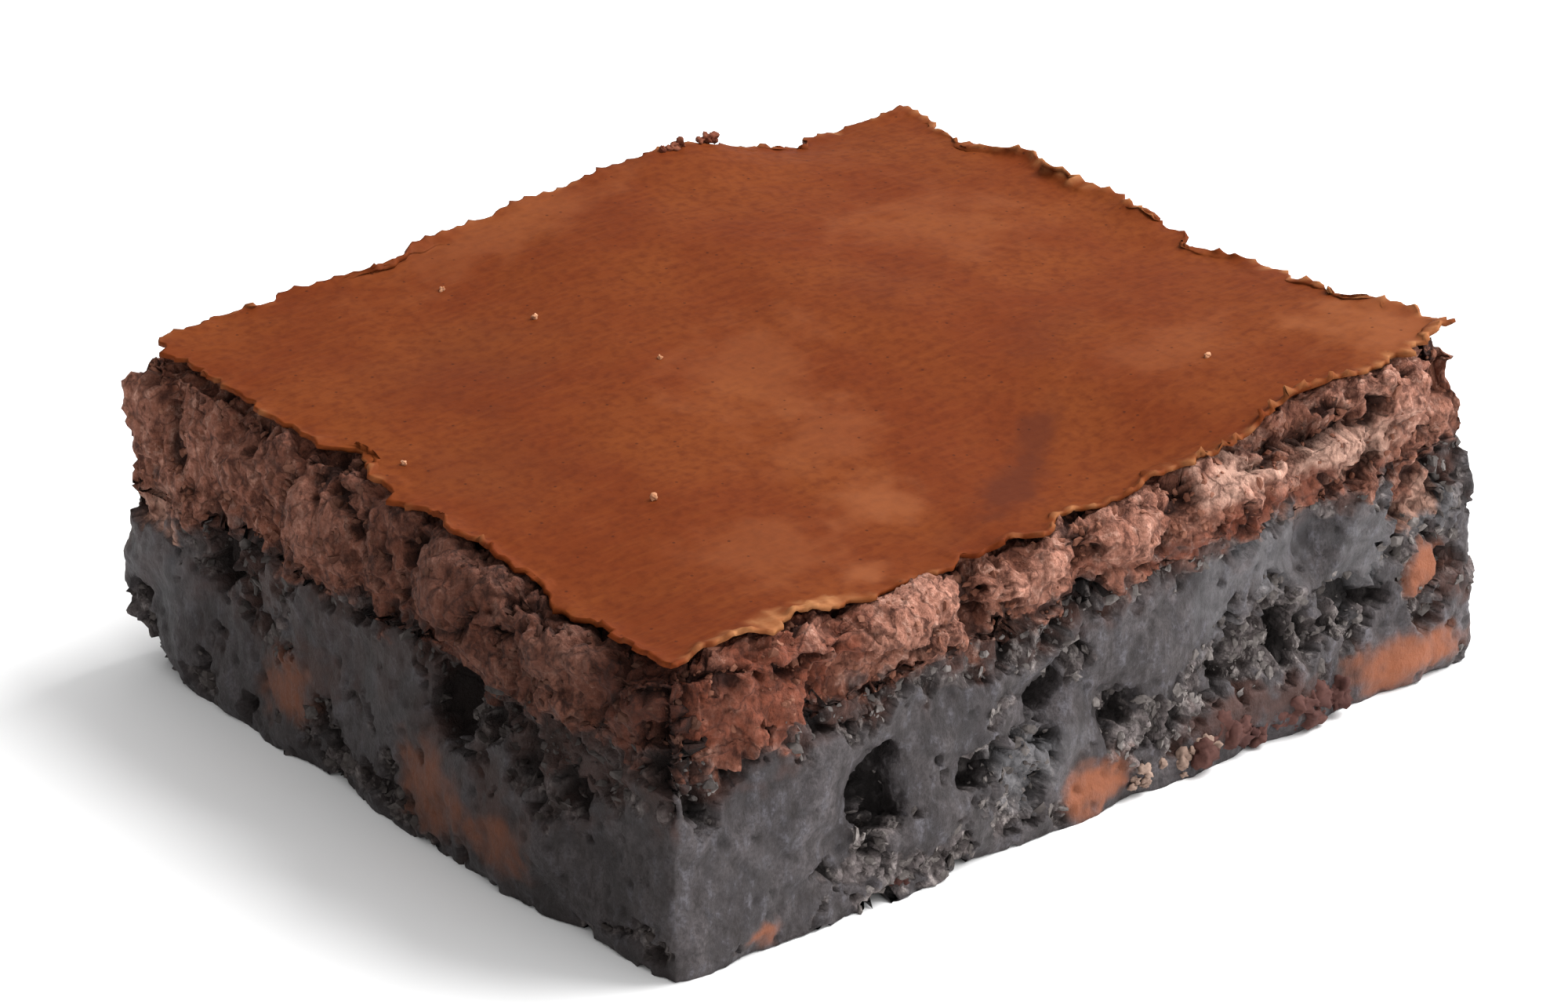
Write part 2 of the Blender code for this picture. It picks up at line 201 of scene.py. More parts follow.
# Places on the cut faces: how far along the face and how high their middle is, half length and half height.
CUT_FACE_SPOTS = {
    # Where the fudge is torn and crumbly.
    "crumbly": {
        "near": (
            (-20.5, 3.6, 3.2, 2.6), (-8.6, 5.0, 3.6, 4.2), (-19.7, 15.9, 3.4, 1.6),
            (-33.0, 14.6, 2.6, 2.0), (16.1, 7.8, 6.6, 3.5), (25.0, 7.0, 3.2, 2.2), (32.6, 11.0, 3.9, 6.4),
            (6.5, 5.0, 5.0, 2.4), (-16.5, 1.4, 7.0, 1.4), (-2.6, 12.0, 1.3, 2.6), (11.0, 16.6, 9.0, 0.9),
        ),
        "left": (
            (18.8, 12.6, 4.6, 3.2), (-11.4, 12.0, 4.2, 3.6), (15.0, 8.6, 4.2, 1.6), (3.0, 2.0, 7.0, 1.6),
            (-19.0, 9.6, 4.4, 2.2), (31.0, 3.0, 2.6, 2.6),
        ),
        "right": (
            (-15.0, 8.0, 5.0, 4.0), (6.0, 10.0, 5.0, 4.4), (20.0, 5.6, 5.0, 3.4), (-29.0, 9.0, 2.4, 6.0),
            (-2.0, 3.0, 5.0, 2.0),
        ),
        "far": (
            (24.0, 8.6, 4.6, 4.0), (3.0, 11.0, 5.0, 3.6), (-16.0, 6.6, 5.0, 3.6), (-33.0, 9.0, 3.6, 5.0),
        ),
    },
    # Where caramel shows in the fudge.
    "caramel": {
        "near": (
            (30.6, 2.3, 5.6, 2.2), (-0.4, 2.3, 2.8, 1.9), (32.2, 9.3, 1.8, 2.2), (-30.0, 1.1, 1.6, 0.9),
        ),
        "left": (
            (11.4, 5.0, 3.4, 2.4), (-6.6, 4.4, 3.8, 3.4), (-14.0, 3.4, 3.4, 1.8),
        ),
        "right": (
            (-28.0, 3.2, 2.6, 1.8), (9.0, 4.0, 3.0, 2.0),
        ),
        "far": (
            (-20.0, 4.0, 3.0, 2.4), (10.0, 3.2, 3.2, 1.8),
        ),
    },
    # Where the cake reaches down over the fudge.
    "tongue": {
        "near": (
            (-33.5, 15.6, 4.4, 2.2), (31.0, 15.4, 2.2, 3.0),
        ),
        "left": (
            (-10.0, 15.6, 4.6, 2.2), (28.5, 14.0, 4.0, 2.0),
        ),
    },
    # Where the cake is ruddy from the skin's syrup.
    "ruddy": {
        "near": (
            (-29.5, 18.6, 8.0, 4.6), (14.0, 18.0, 12.0, 1.6),
        ),
        "left": (
            (-29.5, 18.6, 6.0, 4.0),
        ),
        "right": (
            (0.0, 18.4, 9.0, 2.0),
        ),
        "far": (
            (-10.0, 18.0, 9.0, 2.0),
        ),
    },
    # Where the blade left the fudge whole and smooth.
    "smooth": {
        "near": (
            (-29.9, 5.8, 4.9, 6.6), (-11.6, 11.2, 6.0, 2.9), (5.4, 11.8, 6.0, 4.6),
            (16.7, 15.0, 5.6, 3.4), (25.7, 11.7, 3.3, 4.4),
        ),
        "left": (
            (26.7, 9.4, 5.0, 5.0), (7.8, 11.8, 3.7, 2.5), (-0.5, 11.2, 6.2, 3.6), (-22.0, 4.6, 7.0, 3.6),
        ),
    },
    # Where the blade left the crumb paler.
    "pale": {
        "near": (
            (-7.0, 5.6, 4.2, 2.8), (23.5, 20.6, 5.6, 2.6), (13.0, 21.8, 4.0, 2.0), (16.7, 15.0, 5.6, 3.2),
            (26.0, 11.7, 3.0, 3.6), (33.0, 12.6, 2.6, 3.0), (11.0, 12.4, 2.4, 3.4),
        ),
        "left": (
            (27.4, 9.8, 4.2, 4.6),
        ),
    },
    # Whole lumps of cake, which stand out between the gaps.
    "lump": {
        "near": (
            (-18.0, 20.6, 4.6, 2.2), (-6.4, 20.2, 3.2, 2.6), (1.8, 20.8, 3.6, 2.0),
            (11.6, 21.4, 4.6, 2.0), (21.8, 20.4, 4.6, 1.8), (29.5, 23.0, 2.4, 2.2),
            (-31.0, 18.2, 2.4, 2.0),
        ),
        "left": (
            (-9.4, 20.2, 4.4, 3.0), (-21.0, 19.4, 4.6, 2.6), (6.4, 19.0, 3.4, 2.8),
            (19.0, 20.4, 5.0, 2.8), (28.6, 20.6, 2.4, 2.8),
        ),
        "right": (
            (-22.0, 21.0, 4.6, 2.6), (-8.0, 22.0, 4.0, 2.6), (5.0, 21.4, 4.4, 2.8),
            (22.0, 22.4, 4.6, 2.6),
        ),
        "far": (
            (25.0, 21.6, 4.6, 2.8), (9.0, 22.0, 4.6, 2.4), (-5.0, 20.6, 4.0, 2.8),
            (-25.0, 21.0, 4.6, 2.6),
        ),
    },
    # Where syrup stained the fudge brown.
    "stained": {
        "near": (
            (14.6, 3.4, 7.0, 1.8), (-33.0, 14.4, 4.0, 2.2), (35.0, 7.0, 2.0, 3.0),
        ),
        "left": (
            (17.4, 11.0, 4.6, 3.6), (-20.0, 12.4, 8.0, 2.6), (8.4, 8.0, 3.0, 2.4), (-15.0, 6.0, 3.6, 2.4),
        ),
    },
    # Holes and torn hollows. The last number is their depth.
    "pit": {
        "near": (
            (-20.1, 8.3, 2.0, 2.5, 1.6), (-5.1, 10.0, 1.4, 2.6, 1.6), (21.2, 14.2, 1.2, 2.3, 1.6),
            (1.6, 7.7, 1.1, 1.0, 1.3), (-12.0, 7.2, 0.9, 0.9, 1.4), (-34.6, 12.3, 1.1, 2.2, 1.0),
            (25.3, 8.6, 2.0, 1.2, 1.1), (12.4, 7.6, 1.0, 2.4, 1.1), (17.4, 8.9, 1.1, 1.4, 1.1),
            (20.2, 8.2, 0.7, 1.5, 1.0), (-24.4, 3.6, 1.0, 0.5, 0.8), (-1.9, 12.6, 0.45, 2.2, 1.0),
            (-14.8, 8.6, 0.5, 1.6, 0.7), (31.6, 16.2, 1.0, 1.0, 0.8), (-11.9, 19.7, 1.2, 2.0, 1.7),
            (-2.6, 20.2, 0.8, 1.4, 1.1), (7.0, 21.6, 1.1, 0.9, 1.0), (-27.6, 19.9, 3.0, 0.6, 1.3),
            (-33.6, 21.0, 2.6, 0.45, 1.0), (20.0, 22.6, 5.6, 0.8, 1.7), (32.5, 23.8, 0.35, 2.0, 1.2),
        ),
        "left": (
            (-7.8, 11.6, 1.8, 2.4, 1.4), (-17.0, 11.2, 1.4, 2.0, 1.0), (-29.2, 16.4, 1.4, 1.3, 1.3),
            (30.0, 6.2, 1.0, 1.0, 1.1), (20.6, 12.6, 1.2, 3.2, 1.0), (-10.8, 24.0, 4.0, 0.8, 1.6),
            (-4.8, 22.0, 1.2, 1.7, 1.6), (3.6, 22.0, 1.4, 0.8, 1.1), (9.8, 21.0, 0.5, 1.8, 0.8),
            (15.0, 21.0, 0.4, 1.9, 0.8),
        ),
        "right": (
            (-16.0, 8.6, 1.8, 1.8, 1.3), (4.0, 11.0, 1.5, 1.5, 1.3), (19.0, 6.4, 2.0, 1.6, 1.3),
            (14.0, 24.0, 5.0, 0.8, 1.4),
        ),
        "far": (
            (24.0, 9.4, 1.6, 1.6, 1.3), (3.0, 12.2, 1.5, 1.4, 1.3), (-17.0, 7.0, 2.0, 1.8, 1.3),
            (-12.0, 23.4, 4.0, 0.7, 1.3),
        ),
    },
}
# Notches torn out of the skin's rim: middle in the plan, radius and depth.
SKIN_NOTCHES = (
    ((-36.5, 32.5), 3.2, 0.8),
    ((-37.4, 5.0), 2.6, 1.5),
    ((-37.4, -5.6), 1.3, 0.9),
    ((-37.4, -13.0), 4.2, 1.1),
    ((-16.0, -31.6), 3.0, 0.5),
    ((-2.0, -31.6), 2.4, 0.9),
    ((6.4, -31.6), 2.2, 0.7),
    ((20.0, -31.6), 4.6, 0.8),
    ((37.4, -20.0), 2.4, 1.0),
    ((37.4, -6.0), 3.0, 1.1),
    ((37.4, 19.0), 3.4, 1.2),
    ((23.0, 31.6), 2.6, 1.3),
    ((-16.0, 31.6), 3.0, 1.1),
    ((-29.0, 31.6), 2.0, 0.9),
)
# Tone of the skin: middle in the plan, half length, half width, direction in degrees and darkness, which is
# below 0 where it is paler. The dark streak at 34 degrees across the near half is painted shade of a
# shallow fold.
SKIN_TONES = (
    ((4.4, -20.0), 5.2, 1.5, 34.0, 0.95),
    ((-2.0, -24.2), 4.6, 2.4, 34.0, 1.15),
    ((-9.5, -27.2), 3.0, 1.4, 20.0, 0.30),
    ((14.5, -9.6), 6.0, 3.0, 34.0, 0.30),
    ((-22.1, 11.7), 9.0, 7.0, 0.0, 0.35),
    ((-28.3, -2.0), 7.0, 6.0, 0.0, 0.30),
    ((12.0, 4.0), 9.0, 5.0, 40.0, 0.20),
    ((-11.0, -20.6), 4.6, 3.4, 20.0, -0.55),
    ((-18.5, -28.0), 2.6, 1.6, 0.0, -0.60),
    ((-8.7, -12.2), 6.5, 4.0, 20.0, -0.30),
    ((-6.2, -1.9), 9.0, 6.0, 30.0, -0.30),
    ((20.6, 9.0), 10.0, 7.0, 0.0, -0.30),
    ((20.0, -17.7), 7.0, 4.0, 10.0, -0.25),
    ((-6.8, 27.4), 14.0, 4.0, 10.0, -0.30),
    ((-21.6, -21.6), 6.0, 5.0, 0.0, -0.30),
    ((32.0, -26.0), 5.0, 7.0, 0.0, -0.60),
)
# Where the skin's rim broke into pale flakes: middle in the plan, half length and half width.
FLAKY_RIM = ((-27.0, -30.8), 6.5, 1.7)

# Loose bits: how they are drawn, their least and greatest radius, height and depth as shares of the radius.
FUDGE_FLAKES = {"seed": 11, "count": 3200, "sizes": (0.16, 0.75), "flatness": 0.35, "sink": 0.30}
CAKE_CRUMBS = {"seed": 12, "count": 2600, "sizes": (0.12, 0.5), "flatness": 0.6, "sink": 0.35}
# Lumps along the near foot: the seed of their draws, how many, radius, stretch of the face and height.
PEBBLES = {
    "ruddy_pebbles": (
        (21, 34, (0.5, 1.15), (9.5, 24.0), 1.4),
        (23, 2, (0.7, 0.95), (-18.2, -16.8), 0.1),
    ),
    "pale_pebbles": ((22, 18, (0.28, 0.62), (2.5, 11.5), 1.6),),
}
# Pale crumbs on the skin, and crumb of the neighbouring slice that stuck to the rim of the far side: the seed
# of their draws, their radius and where they are.
CRUMBS_ON_SKIN = {
    "crumbs_on_top": (
        24,
        (0.16, 0.30),
        ((-10.4, 3.3), (-33.5, 2.0), (-13.2, 14.1), (-15.3, 22.5), (-23.4, -12.4), (20.1, -20.7)),
    ),
    "rim_crumbs": (25, (0.36, 0.58), tuple((x, 30.3) for x in (11.5, 12.1, 12.7, 13.4, 15.3, 16.0, 16.7))),
}


def ease(t):
    """0 below 0, 1 above 1, and a smooth step between."""
    t = min(max(t, 0.0), 1.0)
    return t * t * (3 - 2 * t)


def mix(a, b, share):
    return a + (b - a) * share


def select_only(piece):
    for obj in bpy.context.selected_objects:
        obj.select_set(False)
    piece.select_set(True)
    bpy.context.view_layer.objects.active = piece


def open_mesh(piece, select_mode="FACE"):
    """Goes into edit mode on one piece, with nothing of it selected."""
    select_only(piece)
    bpy.ops.object.mode_set(mode="EDIT")
    bpy.ops.mesh.select_mode(type=select_mode)
    bpy.ops.mesh.select_all(action="DESELECT")


def close_mesh():
    bpy.ops.object.mode_set(mode="OBJECT")


def select_faces(piece, wanted):
    """Selects the faces that a test wants, and leaves the piece in edit mode."""
    open_mesh(piece)
    close_mesh()
    for face in piece.data.polygons:
        face.select = wanted(face)
    bpy.ops.object.mode_set(mode="EDIT")


def select_vertices(piece, wanted):
    """Selects the vertices that a test wants, and leaves the piece in edit mode."""
    open_mesh(piece, "VERT")
    close_mesh()
    for vertex in piece.data.vertices:
        vertex.select = wanted(vertex)
    bpy.ops.object.mode_set(mode="EDIT")


def copy_of_node(node, name):
    """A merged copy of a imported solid, to be shaped into a finished piece."""
    piece = bpy.data.objects.new(name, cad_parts[node].data.copy())
    bpy.context.scene.collection.objects.link(piece)
    piece.data.materials.clear()
    open_mesh(piece)
    bpy.ops.mesh.select_all(action="SELECT")
    bpy.ops.mesh.remove_doubles(threshold=MERGE * MM)
    bpy.ops.mesh.tris_convert_to_quads(face_threshold=QUAD_ANGLE, shape_threshold=QUAD_ANGLE)
    close_mesh()
    return piece


def waves(place, heights_and_sizes, start=0.0):
    """Adds noise of a few heights and sizes to a start."""
    for height, size in heights_and_sizes:
        start += height * noise.noise(place / size)
    return start


def layer_height(x, y):
    return LAYER_HEIGHT + LAYER_SLOPE_X * x + LAYER_SLOPE_Y * y


def spots_in_space(kind):
    """The spots of a kind on all cut faces, each with its middle in space first."""
    spots = []
    for side, rows in CUT_FACE_SPOTS[kind].items():
        for along, up, *rest in rows:
            level = (along, FACE_AT[side]) if side in ("near", "far") else (FACE_AT[side], along)
            spots.append(((*level, up), *rest))
    return spots


def nearest_spot(places, spots):
    """How far each place is from the nearest spot's middle, as a share of its size, and which spot it is."""
    shares = []
    for middle, along, up, *_ in spots:
        away = places - np.array(middle)
        shares.append(np.sqrt((away[:, 0] ** 2 + away[:, 1] ** 2) / along**2 + (away[:, 2] / up) ** 2))
    shares = np.array(shares)
    nearest = shares.argmin(axis=0)
    return shares.min(axis=0).tolist(), nearest.tolist()


def inside(place, reach, raggedness, softness):
    """1 inside a spot and 0 outside it, with a ragged edge.

    reach is the place's distance from the spot, as nearest_spot gives it.
    """
    if reach > 2:
        return 0.0
    reach += waves(place, ((raggedness, EDGE_GRAIN), (0.7 * raggedness, 0.35 * EDGE_GRAIN)))
    return ease((1 + 0.4 * softness - reach) / softness)


def flakes_of(place, size, levels, octaves):
    """A torn surface from about -1 to 1, of ragged flat flakes at a few levels, and 1 at each step's foot."""
    height = levels * noise.fractal(place / size, 0.8, 2.0, octaves)
    level = math.floor(height)
    rise = height - level
    foot = max(1 - abs(rise - 0.60) / 0.22, 0.0)
    return (level + 0.3 * rise + 0.7 * ease((rise - 0.65) / 0.35)) / levels, foot


def crumbly_share(place, above, shaded_left_face, within, caramel):
    """How crumbly the fudge is at a place: in spots, here and there, and along its border with the cake."""
    smooth = within["smooth"]
    broken = noise.noise(place / 3.4 + BROKEN_ASIDE) + 0.5 * noise.noise(place / 1.2)
    broken = ease(2.6 * broken - mix(0.6, 0.05, shaded_left_face))
    crumbly = max(within["crumbly"], 0.85 * broken * (1 - smooth))
    border = ease(1.5 - abs(above + 1.0) / 1.3 + 0.7 * noise.noise(place / 1.7 + BORDER_ASIDE))
    crumbly = max(crumbly * (1 - 0.8 * caramel), border * (1 - 0.6 * smooth))
    return ease((crumbly - 0.5) / 0.5 + 0.5)


def cut_face(place, reach, pit):
    """What the cut face is like at a place: the shares that its colour follows, and its outward relief.

    reach gives the place's distance from the nearest spot of each kind, and pit is the nearest pit's depth.
    """
    near, left = NEAR_CUT - place.y, LEFT_CUT - place.x
    warped = place + WARP * noise.noise_vector(place / WARP_SIZE)
    above = place.z - layer_height(place.x, place.y) + waves(place, BORDER_WANDER)
    within = {kind: inside(place, reach[kind], *edge) for kind, edge in SPOT_EDGES.items()}
    cake = max(ease(above / BORDER_WIDTH + 0.5), within["tongue"])
    on_left = place.y < LEFT_FACE_TO_Y or left > -CORNER_DEPTH
    shaded_left_face = ease((left - near) / LEFT_FACE_BLEND + 0.5 + 0.6 * cake) if on_left else 0.0

    # Syrup stained the fudge most under the cake, and on the left face further down.
    streaked = Vector((warped.x, warped.y, warped.z * mix(0.9, 0.6, shaded_left_face)))
    stain = ease(1.1 + above / mix(2.4, 7.0, shaded_left_face) + 1.1 * noise.noise(streaked / 2.0))
    stain = (1 - cake) * max(stain * (1 - 0.6 * within["smooth"]), within["stained"])
    lump = within["lump"] * cake
    caramel = within["caramel"] * (1 - cake)
    crumbly = crumbly_share(place, above, shaded_left_face, within, caramel)
    frayed = waves(place, PIT_FRAYING, reach["pit"])
    hollow = ease((1.25 - frayed) / 0.45) if reach["pit"] < 2 else 0.0
    crumbly = min(max(crumbly, 0.7 * hollow * (1 - cake)), 1.0)

    # Torn flakes and shards with gaps between them, and broad plates and pores where the blade smeared.
    grain = noise.fractal(place / GRAIN_SIZE, 0.8, 2.0, 3)
    flake, flake_foot = flakes_of(streaked, *FLAKES)
    shard, shard_foot = flakes_of(streaked + SHARD_ASIDE, *SHARDS)
    gap = ease((-0.26 - noise.fractal((streaked + GAP_ASIDE) / GAP_SIZE, 0.8, 2.0, 4)) / 0.12)
    gap *= 1 - 0.85 * lump
    plate, plate_foot = flakes_of(warped + PLATE_ASIDE, *PLATES)
    drag = noise.noise(Vector((place.x / DRAG_WIDTH, place.y / DRAG_WIDTH, place.z / DRAG_LENGTH)))
    pore = max(1 - 2.6 * noise.voronoi(place / PORE_SPACING)[0][0], 0.0) * (noise.noise(place / 2.7) > 0.05)

    cake_relief = mix(CAKE_RELIEF["flake"], LUMP_RELIEF["flake"], lump) * flake
    cake_relief += mix(CAKE_RELIEF["shard"], LUMP_RELIEF["shard"], lump) * shard
    cake_relief = cake_relief + CAKE_RELIEF["grain"] * grain - CAKE_RELIEF["gap"] * gap
    cake_relief += mix(CAKE_RELIEF["level"], LUMP_RELIEF["level"], lump)
    crumb_relief = CRUMB_RELIEF["flake"] * flake + CRUMB_RELIEF["shard"] * shard
    crumb_relief = crumb_relief + CRUMB_RELIEF["grain"] * grain - CRUMB_RELIEF["gap"] * gap
    crumb_relief -= CRUMB_RELIEF["sunk"]
    smear_relief = SMEAR_RELIEF["plate"] * plate + SMEAR_RELIEF["drag"] * drag + SMEAR_RELIEF["grain"] * grain
    smear_relief -= SMEAR_RELIEF["pore"] * pore
    relief = mix(mix(smear_relief, crumb_relief, crumbly), cake_relief, cake)
    relief = min(relief, MOST_RELIEF) - pit * hollow

    # Painted shade and highlight: the colour is dark in the gaps, pores and pits and at the foot of each
    # step, where shade falls, and pale on what stands out, as if lit.
    rough = max(cake, crumbly)
    torn = max(gap, 0.65 * flake_foot, 0.45 * shard_foot) * rough * (1 - 0.4 * lump)
    torn = max(torn, (0.35 * plate_foot + 0.8 * pore) * (1 - rough) * (1 - 0.7 * caramel))
    highlight_on_raised = mix(0.5 + 0.55 * plate, 0.45 + 0.30 * lump + 0.70 * flake + 0.55 * shard, rough)
    # Shade is painted on the left face, deeper towards the near corner and, near it, on the cake.
    deepest_shade = SHADE_IN_MIDDLE - SHADE_FALL_TO_FAR * place.y - CAKE_SHADE_FALL * cake * (place.y - CAKE_SHADE_FROM_Y)
    shares = {
        "cake": cake,
        "crumbly": crumbly,
        "caramel": caramel,
        "ruddy": within["ruddy"] * cake,
        "stain": stain,
        "pale": within["pale"],
        "hollow": max(hollow, torn),
        "highlight_on_raised": min(max(highlight_on_raised, 0.0), 1.0),
        "shaded_left_face": shaded_left_face * min(deepest_shade, MOST_SHADE),
    }
    return shares, relief


def set_attribute(piece, name, values):
    attribute = piece.data.attributes.new(name, "FLOAT", "POINT")
    attribute.data.foreach_set("value", np.asarray(values, np.float32))


def tear(piece, share_of_relief):
    """Gives the cut faces their relief, and every vertex the shares that its colour follows.

    share_of_relief says how much of the relief a vertex takes, from its place and its way out of the piece.
    """
    ways = [vertex.normal.copy() for vertex in piece.data.vertices]
    places = [vertex.co / MM - CENTRING for vertex in piece.data.vertices]
    strayed = []
    for place in places:
        stray = place.copy()
        for height, size in SPOT_STRAY:
            stray = stray + height * noise.noise_vector(place / size)
        strayed.append(stray)
    strayed = np.array(strayed)
    found = {kind: nearest_spot(strayed, spots_in_space(kind)) for kind in CUT_FACE_SPOTS}
    pits = spots_in_space("pit")
    columns = {}
    for index, (vertex, way) in enumerate(zip(piece.data.vertices, ways)):
        place = vertex.co / MM
        reach = {kind: reaches[index] for kind, (reaches, _) in found.items()}
        *_, depth = pits[found["pit"][1][index]]
        shares, relief = cut_face(place - CENTRING, reach, depth)
        for name, value in shares.items():
            columns.setdefault(name, []).append(value)
        taken = share_of_relief(place, way)
        relief = min(relief, FOOT_RELIEF + FOOT_SLOPE * place.z)
        if taken > 0:
            rough = max(shares["cake"], shares["crumbly"])
            wobble = WOBBLE * noise.noise_vector(place / WOBBLE_SIZE) * rough
            vertex.co = (place + (way * relief + wobble) * taken) * MM
    for name, column in columns.items():
        set_attribute(piece, name, column)


def smooth_finely(piece, wanted, repeat):
    select_vertices(piece, wanted)
    bpy.ops.mesh.vertices_smooth(factor=0.5, repeat=repeat)
    close_mesh()


def make_fudge_body():
    """The dense lower part. Its base stays flat, and its sides are torn, smeared and pitted."""
    body = copy_of_node("fudge_base", "fudge_body")
    select_faces(body, lambda face: abs(face.normal.z) > 0.9 and face.center.z < 0.05 * MM)
    bpy.ops.mesh.dissolve_limited(angle_limit=BASE_ANGLE)
    close_mesh()
    select_faces(body, lambda face: abs(face.normal.z) < 0.85 and face.area < (FUDGE_FACE_SIZE * MM) ** 2)
    bpy.ops.mesh.subdivide(number_cuts=SIDE_CUTS)
    close_mesh()
    smooth_finely(body, lambda v: 0.3 * MM < v.co.z < (layer_height(*(v.co.xy / MM)) - 1.2) * MM, 5)
    for vertex in body.data.vertices:
        if vertex.co.z > (layer_height(*(vertex.co.xy / MM)) - BORDER_BAND) * MM:
            vertex.co.z += LAYER_OVERLAP * MM

    def taken(place, way):
        if place.z < 0.02:
            return FOOT_SHARE if way.xy.length > 0.2 else 0.0
        return 1.0 if abs(way.z) < 0.8 else 0.0

    tear(body, taken)
    for vertex in body.data.vertices:
        vertex.co.z = max(vertex.co.z, 0.0)
    return body


def top_faces(piece):
    """The faces of the baked top: those that look up and are joined to the middle one, out to the rim."""
    looks_up = {face.index: face for face in piece.data.polygons if face.normal.z > 0.45}
    beside = {}
    for face in looks_up.values():
        for edge in face.edge_keys:
            beside.setdefault(edge, []).append(face.index)
    middle = max(looks_up.values(), key=lambda face: face.center.z - face.center.xy.length)
    found = {middle.index}
    fresh = [middle]
    while fresh:
        face = fresh.pop()
        for edge in face.edge_keys:
            for index in beside[edge]:
                if index not in found:
                    found.add(index)
                    fresh.append(looks_up[index])
    return found


def skin_sheet():
    """The top sheet of the cake layer's solid, out to the ragged rim, as an open sheet."""
    sheet = copy_of_node("cake_layer", "baked_skin")
    top = top_faces(sheet)
    select_faces(sheet, lambda face: face.index not in top)
    bpy.ops.mesh.delete(type="FACE")
    close_mesh()
    return sheet


class Sheet:
    """What the other pieces need to know of the skin: its height over a place and how far its rim is."""

    def __init__(self, piece):
        mesh = piece.data
        self.tree = BVHTree.FromPolygons([v.co for v in mesh.vertices], [p.vertices for p in mesh.polygons])
        uses = {}
        for face in mesh.polygons:
            for edge in face.edge_keys:
                uses[edge] = uses.get(edge, 0) + 1
        rim = {index for edge, count in uses.items() if count == 1 for index in edge}
        self.rim = KDTree(len(rim))
        for index in rim:
            x, y, _ = mesh.vertices[index].co
            self.rim.insert((x, y, 0), index)
        self.rim.balance()

    def height(self, place):
        """The sheet's height over a place, or else that of its nearest part, and whether it is over it."""
        hit = self.tree.ray_cast(Vector((place.x, place.y, 0.1)), Vector((0, 0, -1)))[0]
        if hit:
            return hit.z, True
        return self.tree.find_nearest(place)[0].z, False

    def rim_distance(self, place):
        """How far the rim is from a place, in millimetres."""
        return self.rim.find((place.x, place.y, 0))[2] / MM


def way_out(place):
    """The level direction out of the brownie through the rim that is nearest to a place."""
    half = Vector(cad_box[1]) / MM
    u, v = place.x / half.x, place.y / half.y
    reach = max(abs(u), abs(v))
    sharp = 12
    return Vector((
        math.copysign(abs(u / reach) ** sharp, u),
        math.copysign(abs(v / reach) ** sharp, v),
        0.0,
    )).normalized()


def raggedness(place):
    """How far the skin's rim is torn in at a place, in millimetres."""
    flat = Vector((place.x, place.y, 0))
    torn = waves(flat, RIM_TEARS) + 0.20
    fine = max(noise.noise(flat / 5.0 + FINE_TEARS_ASIDE), 0) * 0.9 * noise.noise(flat / 0.55)
    steps = 0.55 * noise.cell(flat / 3.3 + Vector((0.3, 0.3, 0.5))) * (noise.noise(flat / 9.0) > -0.15)
    notches = 0.0
    for middle, radius, depth in SKIN_NOTCHES:
        away = math.hypot(place.x - middle[0], place.y - middle[1]) / radius
        notches = max(notches, depth * ease((1.25 - away) / 0.5))
    return max(torn + fine + steps, -RIM_OVERHANG) + notches


def tone_of_skin(place):
    """How dark the skin is at a place: above 0 darker, below 0 paler."""
    tone = 0.0
    for middle, along, across, turn, darkness in SKIN_TONES:
        dx, dy = place.x - middle[0], place.y - middle[1]
        turn = math.radians(turn)
        run = (dx * math.cos(turn) + dy * math.sin(turn)) / along
        side = (dy * math.cos(turn) - dx * math.sin(turn)) / across
        reach = waves(place, TONE_EDGE, math.hypot(run, side))
        tone += darkness * ease(1.25 - reach)
    return tone


def make_skin(sheet_piece, sheet):
    """The papery baked skin: torn and lifted along its rim, gently rolling, and given its thickness."""
    select_faces(sheet_piece, lambda face: True)
    bpy.ops.mesh.subdivide(number_cuts=SKIN_CUTS)
    close_mesh()
    smooth_finely(sheet_piece, lambda v: sheet.rim_distance(v.co) > 0.3, 8)
    rims, tones = [], []
    for vertex in sheet_piece.data.vertices:
        place = vertex.co / MM - CENTRING
        distance = sheet.rim_distance(vertex.co)
        near_rim = max(1 - distance / RAGGED_REACH, 0.0)
        torn = raggedness(place) * near_rim
        lift = max(1 - distance / LIFT_REACH, 0.0) ** 2
        curl = mix(*CURLS, ease((place.y - 5.0) / 15.0)) * (noise.noise(place / 2.4) + 0.35)
        roll = 0.05 * noise.noise(Vector((place.x / 2.6, place.y / 1.6, 3.0)))
        roll += 0.10 * noise.noise(place / 6.0)
        vertex.co += (Vector((0, 0, curl * lift + roll)) - way_out(place) * torn) * MM
        pale = 0.35 + 1.5 * noise.noise(place / 3.0 + PALE_RIM_ASIDE) + 0.012 * place.x
        pale -= 0.04 * max(place.y - 22.0, 0)
        (middle_x, middle_y), along, across = FLAKY_RIM
        flaky = math.hypot((place.x - middle_x) / along, (place.y - middle_y) / across)
        flaky = ease(1.2 - flaky + 0.9 * noise.noise(place / 1.2))
        vertex.co.z += 0.25 * flaky * noise.noise(place / 0.7) * MM
        rims.append(max(ease(1 - distance / PALE_RIM_REACH) * min(max(pale, 0.0), 1.0), flaky))
        tones.append(0.5 + 0.5 * tone_of_skin(place))
    set_attribute(sheet_piece, "rim", rims)
    set_attribute(sheet_piece, "tone", tones)
    select_only(sheet_piece)
    solid = sheet_piece.modifiers.new("thickness", "SOLIDIFY")
    solid.thickness = SKIN_THICKNESS * MM
    solid.offset = -1
    bpy.ops.object.modifier_apply(modifier=solid.name)
    return sheet_piece


